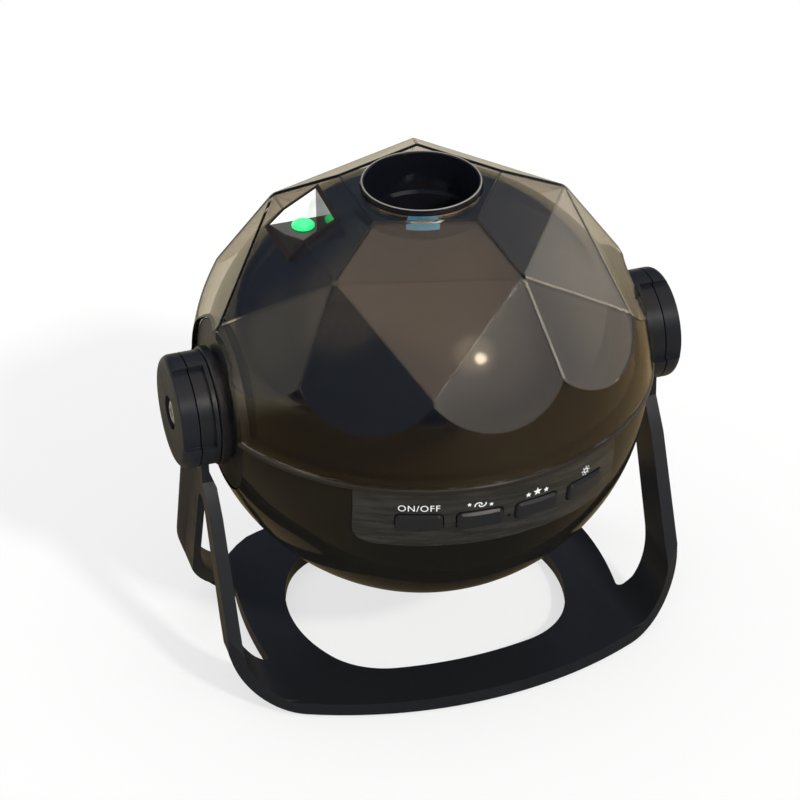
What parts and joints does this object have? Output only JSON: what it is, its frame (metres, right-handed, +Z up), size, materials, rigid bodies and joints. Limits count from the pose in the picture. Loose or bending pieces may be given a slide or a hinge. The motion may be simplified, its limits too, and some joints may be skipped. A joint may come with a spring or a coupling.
{
  "type": "planetarium projector",
  "caption": "Ball-shaped star and nebula projector with a faceted clear dome, tilting between two hubs of a one-piece looped stand, with push buttons on the front.",
  "frame": {"origin": "on the floor, straight under the centre of the ball", "axes": "+Z up, +X along the tilt axis to the right hub, -Y towards the control panel"},
  "size_m": [0.1558, 0.1386, 0.1524],
  "materials": {
    "stand_plastic": "satin moulded",
    "foot_rubber": "soft matt",
    "knob_plastic": "fine satin",
    "steel": "plated",
    "washer_nylon": "plain",
    "pad_plastic": "satin",
    "bowl_plastic": "high gloss",
    "panel_plastic": "gloss, smoked",
    "button_plastic": "satin gloss",
    "ring_plastic": "clear smoked edge",
    "dome_clear": "clear, smoked brown",
    "inner_plastic": "high gloss blue black",
    "collar_plastic": "high gloss",
    "tub_plastic": "gloss",
    "lens_glass": "coated",
    "green_glass": "lit green",
    "glow_clear": "lit cyan",
    "grating_glass": "patterned",
    "disc_clear": "rippled clear",
    "laser_brass": "turned",
    "sink_aluminium": "extruded",
    "board_green": "solder mask",
    "board_white": "solder mask",
    "led_yellow": "phosphor",
    "chassis_plastic": "moulded",
    "motor_case": "can",
    "gear_plastic": "acetal",
    "inlet_plastic": "moulded",
    "switch_metal": "moulded"
  },
  "bodies": {
    "stand": {"stand": "stand_plastic", "base_feet": "foot_rubber", "left_friction_washer": "washer_nylon", "right_friction_washer": "washer_nylon"},
    "head": {"left_side_pad": "pad_plastic", "right_side_pad": "pad_plastic", "left_pivot_stud": "steel", "right_pivot_stud": "steel", "pad_screws": "steel", "faceted_dome": "dome_clear", "inner_dome": "inner_plastic", "trim_ring": "ring_plastic", "control_panel": "panel_plastic", "lower_bowl": "bowl_plastic", "lens_collar": "collar_plastic", "front_lens": "lens_glass", "glow_window": "glow_clear", "star_tub": "tub_plastic", "star_lens": "green_glass", "laser_module": "laser_brass", "star_grating": "grating_glass", "laser_holder": "chassis_plastic", "chassis": "chassis_plastic", "chassis_screws": "steel", "heat_sink": "sink_aluminium", "led_board": "board_white", "lamp_led": "led_yellow", "lamp_tube": "chassis_plastic", "condenser_lens": "lens_glass", "disc_axle": "steel", "axle_clip": "steel", "motor": "motor_case", "main_board": "board_green", "board_screws": "steel", "switch_board": "board_green", "tact_switches": "switch_metal", "power_inlet": "inlet_plastic"},
    "left_knob": {"left_knob": "knob_plastic", "left_knob_screw": "steel"},
    "right_knob": {"right_knob": "knob_plastic", "right_knob_screw": "steel"},
    "nebula_disc": {"nebula_disc": "disc_clear"},
    "motor_pinion": {"motor_pinion": "gear_plastic", "motor_shaft": "steel"},
    "power_button": {"power_button": "button_plastic"},
    "nebula_button": {"nebula_button": "button_plastic"},
    "star_button": {"star_button": "button_plastic"},
    "lamp_button": {"lamp_button": "button_plastic"}
  },
  "joints": [
    {"name": "head_tilt", "type": "hinge", "parent": "stand", "child": "head", "pos_m": [0, 0, 0.088], "axis": [1, 0, 0], "range_deg": [-90, 90]},
    {"name": "left_knob_turn", "type": "hinge", "parent": "stand", "child": "left_knob", "pos_m": [-0.0754, 0, 0.088], "axis": [-1, 0, 0], "range_deg": [-30, 330]},
    {"name": "right_knob_turn", "type": "hinge", "parent": "stand", "child": "right_knob", "pos_m": [0.0754, 0, 0.088], "axis": [1, 0, 0], "range_deg": [-30, 330]},
    {"name": "power_button_press", "type": "slide", "parent": "head", "child": "power_button", "axis": [0.3319, 0.9268, 0.1758], "range_m": [0, 0.001], "stiffness_N_per_m": 400, "springref_m": -0.0004},
    {"name": "nebula_button_press", "type": "slide", "parent": "head", "child": "nebula_button", "axis": [0.0839, 0.9803, 0.1786], "range_m": [0, 0.001], "stiffness_N_per_m": 400, "springref_m": -0.0004},
    {"name": "star_button_press", "type": "slide", "parent": "head", "child": "star_button", "axis": [-0.1697, 0.9693, 0.178], "range_m": [0, 0.001], "stiffness_N_per_m": 400, "springref_m": -0.0004},
    {"name": "lamp_button_press", "type": "slide", "parent": "head", "child": "lamp_button", "axis": [-0.4121, 0.8943, 0.1741], "range_m": [0, 0.001], "stiffness_N_per_m": 400, "springref_m": -0.0004},
    {"name": "nebula_spin", "type": "hinge", "parent": "head", "child": "nebula_disc", "pos_m": [0.017, -0.00162, 0.11896], "axis": [0, -0.0523, 0.9986], "continuous": true},
    {"name": "pinion_spin", "type": "hinge", "parent": "head", "child": "motor_pinion", "pos_m": [0.017, 0.03033, 0.12063], "axis": [0, -0.0523, 0.9986], "continuous": true}
  ],
  "couplings": [
    {"joint": "pinion_spin", "follows": "nebula_spin", "ratio": -5.4}
  ]
}
